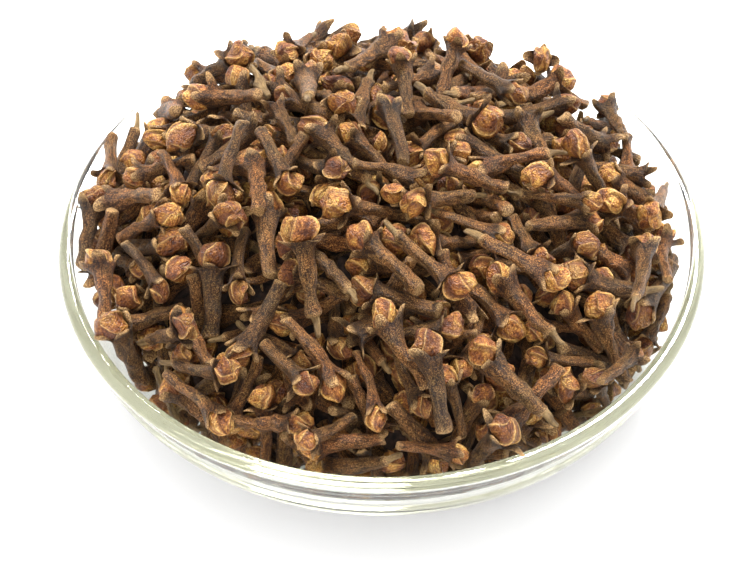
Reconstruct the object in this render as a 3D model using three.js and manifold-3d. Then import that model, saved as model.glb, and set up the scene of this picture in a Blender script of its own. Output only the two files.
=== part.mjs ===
// A shallow clear glass bowl, heaped well above its rim with whole dried cloves.
//
// Millimetres, +Z up. The origin is the middle of the bowl's flat foot, on the table.
// There are two pieces: the pressed glass bowl with its rolled rim, and the heap of cloves. The heap
// is one solid: a plain core, and fused onto it the cloves that show on its top and against the glass.

import * as THREE from "three";
import { mergeVertices } from "three/addons/utils/BufferGeometryUtils.js";
import Module from "manifold-3d";

// ---- driving dimensions ----

// The bowl.
const RIM_RADIUS = 55; // outside of the rolled rim
const BOWL_HEIGHT = 27; // table to the top of the rim
const BEAD_RADIUS = 1.5; // half the thickness of the rolled rim
const OUTER_RADIUS = 53.6; // the wall's outside, just under the rolled rim
const OUTER_DEPTH = 27; // depth of the full outer curve; the foot cuts it flat
const OUTER_ROUNDNESS = 2.1; // exponent of the outer curve: 2 is an ellipse, more is squarer
const FLOOR_HEIGHT = 3.7; // table to the inside of the bowl
const INNER_ROUNDNESS = 2.5;

// The heap.
const HEAP_RADIUS = 53; // where its surface meets the rim
const HEAP_EDGE = 27; // height of that edge over the table
const HEAP_TOP = 45.5; // height of its peak over the table
const HEAP_FULLNESS = 2.3; // exponent of its slope: 1 is a cone, 2 is a dome
const PEAK_SHIFT = -8; // the peak leans this far along X
const CLOVE_COUNT = 935; // as many as fill the bowl up to the heap's surface
const GLASS_GAP = 0.35; // left between the cloves and the glass

// What of the heap is made here.
const CLOVES_ON_TOP = 124;
const CLOVES_ON_GLASS = 8;
const SPACING = 8; // cloves that are made count less when closer together than this
const CORE_DEPTH = 4; // the core's top lies this far under the heap's surface
const CORE_GLASS_GAP = 1.8; // the core stays this far from the glass

// A clove of size 1 has a four-angled stem that widens to a collar, four spreading sepals and a bud.
const FOOT_RADIUS = 1.6; // from the stem's line to its angles
const COLLAR_RADIUS = 2.3;
const COLLAR_ALONG = 9.3; // places along the clove, from the foot of its stem
const NOTCH_RADIUS = 2.1; // between two sepals
const NOTCH_ALONG = 10.4;
const SEPAL_RADIUS = 3.4; // to the sepals' tips
const SEPAL_ALONG = 12.4;
const BUD_RADIUS = 2.6;
const BUD_ALONG = 12.7;
const TOP_ALONG = 14.7;
const LOOSE_BUD = { radius: 2, from: 10, low: 11.2, high: 13.3 }; // a bud that lies by itself
const CUP_RADIUS = 1.3; // the hollow left where a bud has dropped off
const CUP_ALONG = 10.6;
const STYLE_ALONG = 11.4; // the stump in that hollow
const STALK_RADIUS = 0.8;
const STALK_LENGTH = 3.2;
const TWIG_RADIUS = 0.85;
const TWIG_LENGTH = 10;

// How the cloves fall.
const SEED = 18;
const SMALLEST = 0.85; // sizes of cloves
const LARGEST = 1.15;
const MOST_BEND = 0.9; // how far a clove bows, mm at BOW_SPAN from its middle
const BOW_SPAN = 7;
const CLOSENESS = 0.95; // touching cloves press into each other a little
const GLASS_SPREAD = 1.3; // sepals hold a clove off the glass by this share of its thickness
const STARTS = 20; // places tried for each clove
const STEEPEST = 1.1; // tilt at those places at most, radians
const SHUFFLES = 36; // small moves by which it then finds its hollow
const MOVE = 3; // the first of those moves at most, mm
const TURN = 0.6; // and radians, about the upright
const TILT = 0.5; // and radians, up or down
const REACH = 19; // cloves further apart than this, sideways, never touch

// Facets.
const BOWL_SEGMENTS = 56;
const WALL_STEPS = 7;
const BEAD_STEPS = 8;
const CORE_SEGMENTS = 24;
const CORE_STEPS = 5;
const LOOKS = 4000;
const GOLDEN_ANGLE = Math.PI * (3 - Math.sqrt(5));

const wasm = await Module();
wasm.setup();

// ---- helpers ----

function solidOf(geometry) {
  geometry.deleteAttribute("normal");
  geometry.deleteAttribute("uv");
  const merged = mergeVertices(geometry, 1e-3);
  return new wasm.Manifold(
    new wasm.Mesh({
      numProp: 3,
      vertProperties: merged.attributes.position.array,
      triVerts: new Uint32Array(merged.index.array),
    }),
  );
}

function meshOf(solid, name, material) {
  const { vertProperties, triVerts } = solid.getMesh();
  const geometry = new THREE.BufferGeometry();
  geometry.setAttribute("position", new THREE.BufferAttribute(vertProperties, 3));
  geometry.setIndex(new THREE.BufferAttribute(triVerts, 1));
  geometry.computeVertexNormals();
  const mesh = new THREE.Mesh(geometry, material);
  mesh.name = name;
  return mesh;
}

// A lathe about +Z from a profile of [radius, height] points, from the underside up.
function lathe(profile, segments) {
  const points = profile.map(([r, z]) => new THREE.Vector2(r, z));
  return new THREE.LatheGeometry(points, segments).rotateX(Math.PI / 2);
}

// Numbers from 0 to 1 that bunch towards 1, where a hollow's curve turns up.
const upTheWall = (steps) => Array.from({ length: steps }, (_, i) => Math.sin((i / steps) * (Math.PI / 2)));

// Height at distance r from the axis of a round hollow: flat in the middle, upright at its radius.
const hollowHeight = (r, radius, top, depth, roundness) =>
  top - depth * (1 - Math.min(1, r / radius) ** roundness) ** (1 / roundness);

// ---- the bowl ----

const BEAD_MIDDLE = RIM_RADIUS - BEAD_RADIUS;
const BEAD_HEIGHT = BOWL_HEIGHT - BEAD_RADIUS;
const MOUTH_RADIUS = BEAD_MIDDLE - BEAD_RADIUS;

// Points round the rolled rim, or round it with a gap, between two angles.
function beadPoints(gap, from, to, steps) {
  return Array.from({ length: steps + 1 }, (_, i) => {
    const angle = THREE.MathUtils.lerp(from, to, i / steps);
    const radius = BEAD_RADIUS + gap;
    return [BEAD_MIDDLE + radius * Math.cos(angle), BEAD_HEIGHT + radius * Math.sin(angle)];
  });
}

// Points up the bowl's inside, or up it with a gap, from the axis to just short of the mouth.
function insidePoints(gap) {
  const radius = MOUTH_RADIUS - gap;
  const depth = BEAD_HEIGHT - FLOOR_HEIGHT - gap;
  return upTheWall(WALL_STEPS).map((share) => {
    const r = share * radius;
    return [r, hollowHeight(r, radius, BEAD_HEIGHT, depth, INNER_ROUNDNESS)];
  });
}

function bowlSolid() {
  const outerTop = BEAD_HEIGHT - BEAD_RADIUS;
  const footShare = (1 - (outerTop / OUTER_DEPTH) ** OUTER_ROUNDNESS) ** (1 / OUTER_ROUNDNESS);
  const outside = upTheWall(WALL_STEPS).map((share) => {
    const r = THREE.MathUtils.lerp(footShare, 1, share) * OUTER_RADIUS;
    const z = hollowHeight(r, OUTER_RADIUS, outerTop, OUTER_DEPTH, OUTER_ROUNDNESS);
    return [r, Math.max(0, z)];
  });
  const rim = beadPoints(0, -Math.PI / 3, Math.PI, BEAD_STEPS);
  return solidOf(lathe([[0, 0], ...outside, ...rim, ...insidePoints(0).reverse()], BOWL_SEGMENTS));
}

// The room that the heap may fill: the bowl's hollow less the gap, and the air over the rim.
function roomForHeap() {
  const widest = RIM_RADIUS - GLASS_GAP;
  const overRim = beadPoints(GLASS_GAP, Math.PI, Math.PI / 2, BEAD_STEPS / 2);
  const ceiling = HEAP_TOP * 2;
  const air = [[widest, BOWL_HEIGHT + GLASS_GAP], [widest, ceiling], [0, ceiling]];
  return solidOf(lathe([...insidePoints(GLASS_GAP), ...overRim, ...air], BOWL_SEGMENTS));
}

// ---- the shape of a clove ----

// Points round the clove's line. With a notch, every second point is drawn in, as on a star.
function ring(count, radius, along, notchRadius = radius, notchAlong = along) {
  return Array.from({ length: count }, (_, i) => {
    const angle = (i / count) * 2 * Math.PI;
    const r = i % 2 ? notchRadius : radius;
    return new THREE.Vector3(r * Math.cos(angle), r * Math.sin(angle), i % 2 ? notchAlong : along);
  });
}
const point = (along) => [new THREE.Vector3(0, 0, along)];

// The triangles between two rings of any two counts, the first below the second.
function bandBetween(lower, upper) {
  const corners = [];
  let i = 0;
  let j = 0;
  while (i < lower.length || j < upper.length) {
    const lowerIsNext = i < lower.length && (i + 1) / lower.length <= (j + 1) / upper.length;
    const from = lower[i % lower.length];
    const to = upper[j % upper.length];
    if (lowerIsNext) i++;
    else j++;
    const next = lowerIsNext ? lower[i % lower.length] : upper[j % upper.length];
    if (next !== from && next !== to) corners.push(from, next, to);
  }
  return corners;
}

const loft = (rings) => rings.slice(1).flatMap((upper, i) => bandBetween(rings[i], upper));

const COLLAR = [
  ring(4, COLLAR_RADIUS, COLLAR_ALONG),
  ring(8, SEPAL_RADIUS, SEPAL_ALONG, NOTCH_RADIUS, NOTCH_ALONG),
];
const STEM = [point(0), ring(4, FOOT_RADIUS, 0), ...COLLAR];
const STALKED_STEM = [
  point(-STALK_LENGTH),
  ring(3, STALK_RADIUS, -STALK_LENGTH),
  ring(4, FOOT_RADIUS, 0),
  ...COLLAR,
];
const BUD = [ring(4, BUD_RADIUS, BUD_ALONG), point(TOP_ALONG)];

// What the spice holds. share is how often a kind comes, and middle the place along it that its pose
// turns about. balls is the row of balls, [place along, radius], that stands for it while it falls.
const STEM_BALLS = [[1.1, 1.15], [3.4, 1.4], [5.7, 1.6], [8.0, 1.75], [10.1, 2.1]];
const BUD_BALL = [12.2, 2.25];
const KINDS = {
  whole: { share: 0.62, middle: 7.6, balls: [...STEM_BALLS, BUD_BALL], corners: loft([...STEM, ...BUD]) },
  open: {
    share: 0.14,
    middle: 6.6,
    balls: STEM_BALLS,
    corners: loft([...STEM, ring(4, CUP_RADIUS, CUP_ALONG), point(STYLE_ALONG)]),
  },
  stalked: {
    share: 0.17,
    middle: 6.6,
    balls: [[-2.4, STALK_RADIUS], [-0.8, STALK_RADIUS], ...STEM_BALLS, BUD_BALL],
    corners: loft([...STALKED_STEM, ...BUD]),
  },
  bud: {
    share: 0.04,
    middle: 12.2,
    balls: [BUD_BALL],
    corners: loft([
      point(LOOSE_BUD.from),
      ring(5, LOOSE_BUD.radius, LOOSE_BUD.low),
      ring(5, LOOSE_BUD.radius, LOOSE_BUD.high),
      point(TOP_ALONG),
    ]),
  },
  twig: {
    share: 0.03,
    middle: TWIG_LENGTH / 2,
    balls: [0.1, 0.25, 0.4, 0.55, 0.7, 0.9].map((share) => [share * TWIG_LENGTH, TWIG_RADIUS]),
    corners: loft([
      point(0),
      ring(4, TWIG_RADIUS, 0),
      ring(4, TWIG_RADIUS, TWIG_LENGTH),
      point(TWIG_LENGTH + 0.2),
    ]),
  },
};

// ---- the pile ----

// Height of the heap's surface over the point x, y.
function heapHeight(x, y) {
  const lean = PEAK_SHIFT * Math.max(0, 1 - (x * x + y * y) / HEAP_RADIUS ** 2);
  const outwards = Math.hypot(x - lean, y) / HEAP_RADIUS;
  return HEAP_EDGE + (HEAP_TOP - HEAP_EDGE) * (1 - outwards ** HEAP_FULLNESS);
}

let seed = SEED;
const draw = () => (seed = (seed * 16807) % 2147483647) / 2147483647;
const between = (low, high) => low + (high - low) * draw();

function pickKind() {
  let left = draw();
  for (const kind in KINDS) {
    left -= KINDS[kind].share;
    if (left < 0) return kind;
  }
  return "whole";
}

// The clove's own directions: along its stem, towards its bow, and across both.
function directionsOf({ turn, tilt, roll }) {
  const level = Math.cos(tilt);
  const along = new THREE.Vector3(level * Math.cos(turn), level * Math.sin(turn), Math.sin(tilt));
  const side = new THREE.Vector3(-Math.sin(turn), Math.cos(turn), 0);
  const up = new THREE.Vector3().crossVectors(along, side);
  const bow = side.multiplyScalar(Math.cos(roll)).addScaledVector(up, Math.sin(roll));
  return { along, bow, across: new THREE.Vector3().crossVectors(along, bow) };
}

const bowAt = (clove, distance) => clove.bend * (distance / BOW_SPAN) ** 2;

// The clove's balls, around its middle.
function ballsOf(clove) {
  const { along, bow } = directionsOf(clove);
  const { middle, balls } = KINDS[clove.kind];
  return balls.map(([place, radius]) => {
    const distance = (place - middle) * clove.size;
    const centre = along.clone().multiplyScalar(distance).addScaledVector(bow, bowAt(clove, distance));
    return { x: centre.x, y: centre.y, z: centre.z, radius: radius * clove.size };
  });
}

// The lowest height that the middle of a ball can have over the glass, at distance r from the axis.
const TOUCHES = [-1, -0.75, -0.5, -0.25, 0, 0.25, 0.5, 0.75, 0.9, 1];
function heightOnGlass(r, radius) {
  const glassAt = (distance) =>
    distance >= MOUTH_RADIUS
      ? BOWL_HEIGHT
      : hollowHeight(distance, MOUTH_RADIUS, BEAD_HEIGHT, BEAD_HEIGHT - FLOOR_HEIGHT, INNER_ROUNDNESS);
  return Math.max(...TOUCHES.map((t) => glassAt(Math.abs(r + t * radius)) + radius * Math.sqrt(1 - t * t)));
}

// The height at which a clove comes to rest when it drops onto the glass and the balls near it.
function restHeight(clove, near) {
  let height = -Infinity;
  for (const ball of ballsOf(clove)) {
    const x = clove.x + ball.x;
    const y = clove.y + ball.y;
    const r = Math.hypot(x, y);
    const spread = ball.radius * GLASS_SPREAD + GLASS_GAP;
    if (r + spread > RIM_RADIUS) return Infinity;
    height = Math.max(height, heightOnGlass(r, spread) - ball.z);
    for (const other of near) {
      const touch = (ball.radius + other.radius) * CLOSENESS;
      const rise = touch ** 2 - (other.x - x) ** 2 - (other.y - y) ** 2;
      if (rise > 0) height = Math.max(height, other.z + Math.sqrt(rise) - ball.z);
    }
  }
  return height;
}

// Drops the cloves one by one. Each takes the place that lies deepest under the heap's surface.
function pileOfCloves() {
  const cloves = [];
  const placed = [];
  const isNear = (ball, x, y) => Math.abs(ball.x - x) < REACH && Math.abs(ball.y - y) < REACH;
  const nearTo = (x, y) => placed.filter((ball) => isNear(ball, x, y));
  for (let i = 0; i < CLOVE_COUNT; i++) {
    const made = {
      kind: pickKind(),
      size: between(SMALLEST, LARGEST),
      bend: between(-MOST_BEND, MOST_BEND),
      roll: between(0, 2 * Math.PI),
    };
    let best = { over: Infinity };
    const tryPose = (pose, near) => {
      const z = restHeight(pose, near);
      const over = z - heapHeight(pose.x, pose.y);
      if (over < best.over) best = { ...pose, z, over };
    };
    for (let s = 0; s < STARTS; s++) {
      const r = HEAP_RADIUS * Math.sqrt(draw());
      const angle = between(0, 2 * Math.PI);
      const pose = { ...made, x: r * Math.cos(angle), y: r * Math.sin(angle) };
      pose.turn = between(0, 2 * Math.PI);
      pose.tilt = between(-STEEPEST, STEEPEST);
      tryPose(pose, nearTo(pose.x, pose.y));
    }
    const near = nearTo(best.x, best.y);
    for (let s = 0; s < SHUFFLES; s++) {
      const calm = 1 - s / SHUFFLES;
      const pose = { ...best };
      pose.x += between(-MOVE, MOVE) * calm;
      pose.y += between(-MOVE, MOVE) * calm;
      pose.turn += between(-TURN, TURN) * calm;
      pose.tilt += between(-TILT, TILT) * calm;
      tryPose(pose, near);
    }
    best.balls = ballsOf(best).map((ball) => ({
      x: best.x + ball.x,
      y: best.y + ball.y,
      z: best.z + ball.z,
      radius: ball.radius,
    }));
    cloves.push(best);
    placed.push(...best.balls);
  }
  return cloves;
}

// ---- the heap ----

// Looks straight down on the heap at points spread evenly over it, and counts at how many of them
// each clove is what shows.
function countShown(cloves) {
  cloves.forEach((clove) => (clove.shown = 0));
  for (let i = 0; i < LOOKS; i++) {
    const r = RIM_RADIUS * Math.sqrt(i / LOOKS);
    const x = r * Math.cos(i * GOLDEN_ANGLE);
    const y = r * Math.sin(i * GOLDEN_ANGLE);
    let top = { height: heapHeight(x, y) - CORE_DEPTH };
    for (const clove of cloves) {
      for (const ball of clove.balls) {
        const rise = ball.radius ** 2 - (ball.x - x) ** 2 - (ball.y - y) ** 2;
        const height = rise > 0 ? ball.z + Math.sqrt(rise) : 0;
        if (height > top.height) top = { height, clove };
      }
    }
    if (top.clove) top.clove.shown++;
  }
}

// The share of a clove's balls that lie against the glass.
function shareOnGlass(clove) {
  const isOnGlass = ({ x, y, z, radius }) =>
    z - heightOnGlass(Math.hypot(x, y), radius * GLASS_SPREAD + GLASS_GAP) < radius;
  return clove.balls.filter(isOnGlass).length / clove.balls.length;
}

// Picks the cloves that score best, and spreads them: one close to another that is picked counts less.
function pick(count, cloves, scoreOf) {
  const picked = [];
  const left = new Set(cloves);
  while (picked.length < count) {
    let best = { worth: -1 };
    for (const clove of left) {
      const gaps = picked.map((other) => Math.hypot(other.x - clove.x, other.y - clove.y, other.z - clove.z));
      const worth = scoreOf(clove) * Math.min(SPACING, ...gaps);
      if (worth > best.worth) best = { worth, clove };
    }
    picked.push(best.clove);
    left.delete(best.clove);
  }
  return picked;
}

// The cloves to make: those that show most on top, and those that lie most against the glass.
function shownCloves() {
  const cloves = pileOfCloves();
  countShown(cloves);
  const onTop = pick(CLOVES_ON_TOP, cloves, (clove) => clove.shown);
  const others = cloves.filter((clove) => !onTop.includes(clove));
  return [...onTop, ...pick(CLOVES_ON_GLASS, others, shareOnGlass)];
}

// One clove as a solid in its place: sized, bowed, then turned and moved.
function cloveSolid(clove) {
  const { along, bow, across } = directionsOf(clove);
  const { middle, corners } = KINDS[clove.kind];
  const place = new THREE.Matrix4().makeBasis(bow, across, along).setPosition(clove.x, clove.y, clove.z);
  const bent = corners.map((corner) => {
    const distance = (corner.z - middle) * clove.size;
    const x = corner.x * clove.size + bowAt(clove, distance);
    return new THREE.Vector3(x, corner.y * clove.size, distance).applyMatrix4(place);
  });
  return solidOf(new THREE.BufferGeometry().setFromPoints(bent));
}

// The core follows the glass below and the heap's surface above.
function coreSolid() {
  const radius = MOUTH_RADIUS - CORE_GLASS_GAP;
  const depth = BEAD_HEIGHT - FLOOR_HEIGHT - CORE_GLASS_GAP;
  const under = upTheWall(CORE_STEPS).map((share) => {
    const r = share * radius;
    return [r, hollowHeight(r, radius, BEAD_HEIGHT, depth, INNER_ROUNDNESS)];
  });
  const over = upTheWall(CORE_STEPS).map((share) => [share * radius, HEAP_TOP]);
  const shape = lathe([...under, [radius, HEAP_TOP], ...over.reverse()], CORE_SEGMENTS);
  const points = shape.attributes.position;
  for (let i = 0; i < points.count; i++) {
    if (points.getZ(i) === HEAP_TOP) {
      points.setZ(i, heapHeight(points.getX(i), points.getY(i)) - CORE_DEPTH);
    }
  }
  return solidOf(shape);
}

// Fusing can seal a hollow or leave a scrap standing off: only the outside of the largest is kept.
function heapSolid() {
  const fused = wasm.Manifold.union([coreSolid(), ...shownCloves().map(cloveSolid)]).intersect(roomForHeap());
  const bodies = fused.simplify(0.01).decompose();
  return bodies.reduce((largest, body) => (body.volume() > largest.volume() ? body : largest));
}

// ---- the whole ----

const glass = new THREE.MeshStandardMaterial({ color: 0xe4ece6, roughness: 0.05, metalness: 0 });
const spice = new THREE.MeshStandardMaterial({ color: 0x6f4a30, roughness: 0.75, metalness: 0 });

const whole = new THREE.Group();
whole.add(meshOf(bowlSolid(), "bowl", glass));
whole.add(meshOf(heapSolid(), "cloves", spice));

export default whole;
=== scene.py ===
# %% [markdown]
# # A glass bowl heaped with whole cloves
#
# A clove is a dried flower bud. It has a four-angled stem, a collar with four leathery sepals, and a
# round head of four petals that overlap. The bowl holds some nine hundred of them, so this lesson has
# two halves: model a handful of cloves with care, then let a rule drop copies of them into the bowl.
#
# The solids of the part come first, as a frame that fixes every size and place. Blender adds only looks.

# %% The frame
import math

import bmesh
import bpy
import numpy as np
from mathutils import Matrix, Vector


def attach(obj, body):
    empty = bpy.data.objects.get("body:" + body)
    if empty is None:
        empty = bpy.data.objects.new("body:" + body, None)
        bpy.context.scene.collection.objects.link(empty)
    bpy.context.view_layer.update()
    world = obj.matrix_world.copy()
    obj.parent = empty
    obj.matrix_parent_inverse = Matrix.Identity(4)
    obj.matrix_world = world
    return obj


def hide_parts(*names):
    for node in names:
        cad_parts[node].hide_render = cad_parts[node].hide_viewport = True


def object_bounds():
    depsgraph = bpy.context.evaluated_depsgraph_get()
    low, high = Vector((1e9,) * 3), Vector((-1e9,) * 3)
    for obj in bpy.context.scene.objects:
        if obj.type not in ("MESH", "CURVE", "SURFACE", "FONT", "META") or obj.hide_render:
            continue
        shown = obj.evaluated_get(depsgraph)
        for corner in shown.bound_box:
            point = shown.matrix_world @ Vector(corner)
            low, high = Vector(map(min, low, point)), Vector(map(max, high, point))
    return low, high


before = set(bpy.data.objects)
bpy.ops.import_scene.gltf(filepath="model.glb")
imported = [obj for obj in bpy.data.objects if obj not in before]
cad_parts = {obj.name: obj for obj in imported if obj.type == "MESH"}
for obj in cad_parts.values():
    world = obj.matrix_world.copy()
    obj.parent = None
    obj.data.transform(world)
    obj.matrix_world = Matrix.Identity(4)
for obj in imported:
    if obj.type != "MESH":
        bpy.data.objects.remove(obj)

cad_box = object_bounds()
print("nodes", sorted(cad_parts), "height", round(cad_box[1].z * 1000, 1), "mm")

# %% [markdown]
# ## Sizes
#
# Blender works in metres here, but a clove is easier to think of in millimetres. So all sizes below are
# in millimetres and go through `MM` where a tool takes them. The bowl and the heap follow the same few
# numbers as the solids do. A curve with an exponent is a superellipse: 2 gives an ellipse, more gives a
# fuller, squarer bowl.

# %% Sizes of the bowl and the heap
MM = 0.001
RIM_RADIUS = 55.0
BOWL_HEIGHT = 27.0
BEAD_RADIUS = 1.5
OUTER_RADIUS = 53.6
OUTER_DEPTH = 27.0
OUTER_ROUNDNESS = 2.1
FLOOR_HEIGHT = 3.7
INNER_ROUNDNESS = 2.5
HEAP_RADIUS = 53.0
HEAP_EDGE = 27.0
HEAP_TOP = 45.5
HEAP_FULLNESS = 2.3
PEAK_SHIFT = -8.0
GLASS_GAP = 0.35

BEAD_MIDDLE = RIM_RADIUS - BEAD_RADIUS
BEAD_HEIGHT = BOWL_HEIGHT - BEAD_RADIUS
MOUTH_RADIUS = BEAD_MIDDLE - BEAD_RADIUS


def hollow_height(r, radius, top, depth, roundness):
    """Height at distance r from the axis of a round hollow: flat in the middle, upright at its radius."""
    share = np.minimum(1, r / radius)
    return top - depth * (1 - share**roundness) ** (1 / roundness)


def heap_height(x, y):
    """Height of the heap's surface over the point x, y."""
    lean = PEAK_SHIFT * np.maximum(0, 1 - (x * x + y * y) / HEAP_RADIUS**2)
    outwards = np.hypot(x - lean, y) / HEAP_RADIUS
    return HEAP_EDGE + (HEAP_TOP - HEAP_EDGE) * (1 - outwards**HEAP_FULLNESS)


print("the heap rises", HEAP_TOP - BOWL_HEIGHT, "mm over the rim")

# %% [markdown]
# ## Tools for the bench
#
# Blender's mesh tools act on what is selected, and on a bench without a window nobody clicks. These few
# helpers do the clicking: start with nothing selected, add a primitive, and pick vertices or faces by
# the place where they are.

# %% Helpers: start, pick, push, resize, leave
NEAR = 0.01  # mm; a vertex this close to a height is at that height
DOUBLES = 1e-6  # metres; vertices this close are one


def start(add, **where):
    """Adds a primitive with nothing else selected, puts its place into its mesh, and goes into edit mode."""
    bpy.ops.object.select_all(action="DESELECT")
    add(**where)
    bpy.ops.object.transform_apply(location=True, rotation=True, scale=True)
    bpy.ops.object.mode_set(mode="EDIT")
    return bpy.context.object


def pick(test, what="VERT"):
    """Selects only the vertices or faces whose place, in mm, passes the test."""
    bpy.ops.mesh.select_mode(type=what)
    bpy.ops.mesh.select_all(action="DESELECT")
    shape = bmesh.from_edit_mesh(bpy.context.object.data)
    for part in shape.verts if what == "VERT" else shape.faces:
        place = part.co if what == "VERT" else part.calc_center_median()
        part.select_set(bool(test(place / MM)))
    shape.select_flush_mode()
    bmesh.update_edit_mesh(bpy.context.object.data)


def pick_these(indexes):
    """Selects only the vertices with these indexes."""
    bpy.ops.mesh.select_mode(type="VERT")
    bpy.ops.mesh.select_all(action="DESELECT")
    shape = bmesh.from_edit_mesh(bpy.context.object.data)
    shape.verts.ensure_lookup_table()
    for i in indexes:
        shape.verts[i].select_set(True)
    shape.select_flush_mode()
    bmesh.update_edit_mesh(bpy.context.object.data)


def push(x=0, y=0, z=0):
    """Extrudes the selected faces by that many mm."""
    bpy.ops.mesh.extrude_region_move(TRANSFORM_OT_translate={"value": (x * MM, y * MM, z * MM)})


def resize(x, y, z, about):
    """Resizes what is selected about a point in mm."""
    bpy.ops.transform.resize(value=(x, y, z), center_override=Vector(about) * MM)


def leave(name):
    """Closes edit mode with the faces outwards, and names the piece."""
    bpy.ops.mesh.select_all(action="SELECT")
    bpy.ops.mesh.remove_doubles(threshold=DOUBLES)
    bpy.ops.mesh.normals_make_consistent(inside=False)
    bpy.ops.object.mode_set(mode="OBJECT")
    piece = bpy.context.object
    piece.name = piece.data.name = name
    return piece


def choose(piece):
    """Makes a piece the only one selected, and the active one."""
    bpy.ops.object.select_all(action="DESELECT")
    piece.select_set(True)
    bpy.context.view_layer.objects.active = piece


def apply_all(piece):
    """Applies the piece's modifiers, in order."""
    choose(piece)
    for modifier in list(piece.modifiers):
        bpy.ops.object.modifier_apply(modifier=modifier.name)


# %% [markdown]
# ## The bowl
#
# The real bowl is pressed glass: a flat foot, a wall that curves up, and a rim rolled over into a bead.
# Everything about it is round, so it could be a lathe job or a stack of rings. Here half of its outline
# is drawn as a chain of edges, from the middle of the underside over the rim to the middle of the
# inside, and `spin` carries the chain once round the axis. Glass shows every facet in its reflections,
# so the chain has many points. The underside has a shallow hollow, so that it stands on a ring.

# %% The bowl's outline
def up_the_wall(steps):
    """Shares from 0 to 1 that bunch towards 1, where a hollow's curve turns up."""
    return np.sin(np.arange(steps) / steps * math.pi / 2)


WALL_STEPS = 30
BEAD_STEPS = 20
BEAD_START = -math.pi / 3
FOOT_HOLLOW = 0.7
# The underside, from the hollow to the foot's edge: place from that edge, and share of the hollow's height.
FOOT_STEPS = ((-7, 1), (-5, 0.5), (-3.6, 0), (-0.5, 0))

outer_top = BEAD_HEIGHT - BEAD_RADIUS
foot_share = (1 - (outer_top / OUTER_DEPTH) ** OUTER_ROUNDNESS) ** (1 / OUTER_ROUNDNESS)
foot_radius = foot_share * OUTER_RADIUS
outside_r = (foot_share + (1 - foot_share) * up_the_wall(WALL_STEPS)) * OUTER_RADIUS
outside_z = hollow_height(outside_r, OUTER_RADIUS, outer_top, OUTER_DEPTH, OUTER_ROUNDNESS)
inside_r = up_the_wall(WALL_STEPS) * MOUTH_RADIUS
inside_z = hollow_height(inside_r, MOUTH_RADIUS, BEAD_HEIGHT, BEAD_HEIGHT - FLOOR_HEIGHT, INNER_ROUNDNESS)
bead = np.linspace(BEAD_START, math.pi, BEAD_STEPS + 1)

outline = [(0, FOOT_HOLLOW)]
outline += [(foot_radius + place, share * FOOT_HOLLOW) for place, share in FOOT_STEPS]
outline += [(r, max(0, z)) for r, z in list(zip(outside_r, outside_z))[1:]]
outline += [(BEAD_MIDDLE + BEAD_RADIUS * math.cos(a), BEAD_HEIGHT + BEAD_RADIUS * math.sin(a)) for a in bead]
outline += list(zip(inside_r, inside_z))[::-1]
print("outline of", len(outline), "points, foot radius", round(foot_radius, 1), "mm")

# %% Spin the outline
SPIN_STEPS = 144
JUST_INSIDE = 0.9999  # keeps the round rim within the box of the faceted solid
SHARP_ON_BOWL = math.radians(60)

bowl = start(bpy.ops.mesh.primitive_plane_add, size=MM, location=(0, 0, FOOT_HOLLOW * MM))
bpy.ops.mesh.merge(type="CENTER")
for (r0, z0), (r1, z1) in zip(outline, outline[1:]):
    push(x=r1 - r0, z=z1 - z0)
bpy.ops.mesh.select_all(action="SELECT")
bpy.ops.mesh.spin(steps=SPIN_STEPS, angle=2 * math.pi, center=(0, 0, 0), axis=(0, 0, 1))
bpy.ops.mesh.select_all(action="SELECT")
resize(JUST_INSIDE, JUST_INSIDE, 1, (0, 0, 0))
bowl = leave("glass_bowl")
bpy.ops.object.shade_smooth_by_angle(angle=SHARP_ON_BOWL)
print("bowl", len(bowl.data.polygons), "faces, height", round(bowl.dimensions.z / MM, 2), "mm")

# %% [markdown]
# ## One clove
#
# Seen close, the stem is four-angled, a little thicker towards the head, and blunt at the foot. Four
# sepals grow out of its angles. They are thick triangles that hug the head or curl away from it. The
# head is a ball of four petals, and each petal's free edge lies over the next one, which leaves a small
# step that catches the light.
#
# The stem is an eight-sided cylinder that is extruded ring by ring. Its end is set in to make a narrow
# flat ring, and a pair of that ring's faces is extruded three times for each sepal. The head is a ball
# with four columns of faces to a petal. The last column of a petal is drawn in and turned close to the
# first of the next, so the step between two petals is real. The clove stands on the origin, along Z.

# %% The stem
COLUMNS = 8
FLAT_SHARE = 0.86
FOOT_DEPTH = 0.3
FOOT_SHARE = 0.66
STALK_SHARE = 0.72
COLLAR = 10.1
COLLAR_RADIUS = 2.0
CUP_SHARE = 0.72
STEM_RINGS = [(0.45, 1.4), (2.4, 1.34), (4.6, 1.42), (6.7, 1.5), (8.6, 1.75), (COLLAR, COLLAR_RADIUS)]


def angle_at(place):
    """The direction of a place about Z, in degrees from 0 to 360."""
    return math.degrees(math.atan2(place.y, place.x)) % 360


def apart(a, b):
    """The angle between two directions, in degrees."""
    return abs((a - b + 180) % 360 - 180)


def grow(rings):
    """Extrudes the selected end through rings of (height, radius). The first is where it already is."""
    for (z0, r0), (z1, r1) in zip(rings, rings[1:]):
        push(z=z1 - z0)
        resize(r1 / r0, r1 / r0, 1, (0, 0, z1))


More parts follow.
